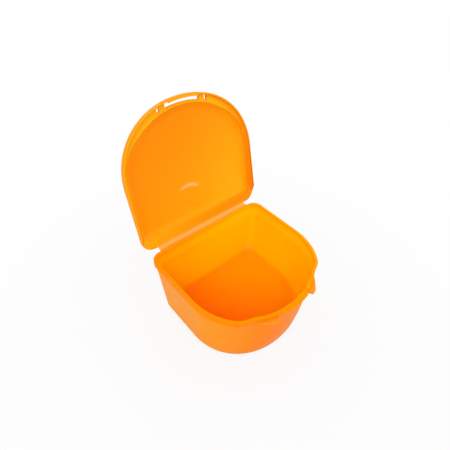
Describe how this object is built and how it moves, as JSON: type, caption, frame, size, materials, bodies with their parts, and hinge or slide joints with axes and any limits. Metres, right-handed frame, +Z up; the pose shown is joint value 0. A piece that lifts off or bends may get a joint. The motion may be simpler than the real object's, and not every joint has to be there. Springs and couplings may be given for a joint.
{
  "type": "denture case",
  "caption": "D-shaped denture case with drafted walls, a set back snap catch, thumb ledges and a shallow dished lid that opens on a thin living hinge.",
  "frame": {"origin": "middle of the tub's flat underside, which rests on the table", "axes": "+Z up, -Y towards the front with the catch, +Y towards the hinge, +X to the right as seen from the front, across the width"},
  "size_m": [0.0822, 0.0965, 0.1098],
  "materials": {
    "tub_plastic": "satin",
    "lid_plastic": "satin",
    "web_plastic": "satin"
  },
  "bodies": {
    "tub_body": {"tub": "tub_plastic", "living_hinge": "web_plastic"},
    "lid_body": {"lid": "lid_plastic"}
  },
  "joints": [
    {"name": "lid_hinge", "type": "hinge", "parent": "tub_body", "child": "lid_body", "pos_m": [0, 0.03697, 0.0398], "axis": [-1, 0, 0], "range_deg": [-108, 72], "deforming": ["living_hinge"]}
  ]
}
